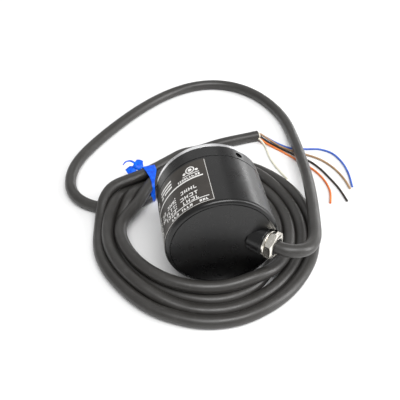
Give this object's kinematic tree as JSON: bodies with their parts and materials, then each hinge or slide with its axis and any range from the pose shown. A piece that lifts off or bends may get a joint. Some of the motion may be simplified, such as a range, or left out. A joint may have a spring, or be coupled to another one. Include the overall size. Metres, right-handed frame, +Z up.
{
  "type": "incremental rotary encoder",
  "caption": "Incremental optical rotary encoder with a round black housing, a solid shaft in ball bearings, an angled cable gland and a coiled multi-core cable with bare wire ends.",
  "frame": {"origin": "on the floor, below the middle of the encoder's length from its outlet boss to its shaft tip", "axes": "+Y along the shaft axis, out of the mounting flange; +Z up, with the housing lying on its side; +X to the right when looking along +Y"},
  "size_m": [0.1259, 0.1626, 0.04],
  "materials": {
    "cover_black": "satin black anodised drawn aluminium, fine grain",
    "flange_aluminium": "turned, clear anodised",
    "steel": "ground stainless steel",
    "black_steel": "black oxide",
    "nickel": "bright nickel plate",
    "rubber": "matt",
    "label_black": "printed polyester film, satin",
    "disc_glass": "polished",
    "board_green": "solder resist",
    "plastic_black": "moulded",
    "plastic_white": "moulded",
    "brass": "turned",
    "cable_jacket": "dark warm grey PVC, matt with a soft sheen",
    "tie_blue": "saturated blue plastic film over wire",
    "wire_blue": "PVC insulation",
    "wire_brown": "PVC insulation",
    "wire_black": "PVC insulation",
    "wire_orange": "PVC insulation",
    "wire_white": "PVC insulation"
  },
  "bodies": {
    "housing": {"bearing_circlip": "black_steel", "bearing_spacer": "flange_aluminium", "board_screw_1": "steel", "board_screw_2": "steel", "board_screw_3": "steel", "board_spacer_1": "brass", "board_spacer_2": "brass", "board_spacer_3": "brass", "cable_coil": "cable_jacket", "cable_entry": "cable_jacket", "cable_lead": "cable_jacket", "cable_tail": "cable_jacket", "cable_tie": "tie_blue", "circuit_board": "board_green", "cover_o_ring": "rubber", "cover_screw_1": "black_steel", "cover_screw_2": "black_steel", "cover_screw_3": "black_steel", "front_bearing_outer_ring": "steel", "front_flange": "flange_aluminium", "gland_body": "nickel", "gland_nut": "nickel", "gland_seal": "rubber", "infrared_lamp": "disc_glass", "inner_leads": "wire_white", "label": "label_black", "lamp_holder": "plastic_black", "photo_sensor": "plastic_black", "rear_bearing_outer_ring": "steel", "rear_cover": "cover_black", "shaft_seal": "rubber", "slit_mask": "disc_glass", "wire_black": "wire_black", "wire_blue": "wire_blue", "wire_brown": "wire_brown", "wire_header": "plastic_white", "wire_orange": "wire_orange", "wire_white": "wire_white"},
    "shaft": {"shaft": "steel", "rear_bearing_inner_ring": "steel", "front_bearing_inner_ring": "steel", "preload_washer": "steel", "shaft_clip": "black_steel", "disc_hub": "flange_aluminium", "hub_set_screw": "black_steel", "code_disc": "disc_glass"},
    "rear_cage": {"rear_bearing_cage": "brass", "rear_ball_1": "steel", "rear_ball_2": "steel", "rear_ball_3": "steel", "rear_ball_4": "steel", "rear_ball_5": "steel", "rear_ball_6": "steel"},
    "front_cage": {"front_bearing_cage": "brass", "front_ball_1": "steel", "front_ball_2": "steel", "front_ball_3": "steel", "front_ball_4": "steel", "front_ball_5": "steel", "front_ball_6": "steel"}
  },
  "joints": [
    {"name": "shaft_spin", "type": "hinge", "parent": "housing", "child": "shaft", "pos_m": [0, 0, 0.02], "axis": [0, 1, 0], "continuous": true},
    {"name": "rear_cage_spin", "type": "hinge", "parent": "housing", "child": "rear_cage", "pos_m": [0, 0.0003, 0.02], "axis": [0, 1, 0], "continuous": true},
    {"name": "front_cage_spin", "type": "hinge", "parent": "housing", "child": "front_cage", "pos_m": [0, 0.0101, 0.02], "axis": [0, 1, 0], "continuous": true}
  ],
  "couplings": [
    {"joint": "rear_cage_spin", "follows": "shaft_spin", "ratio": 0.3857},
    {"joint": "front_cage_spin", "follows": "shaft_spin", "ratio": 0.3857}
  ]
}
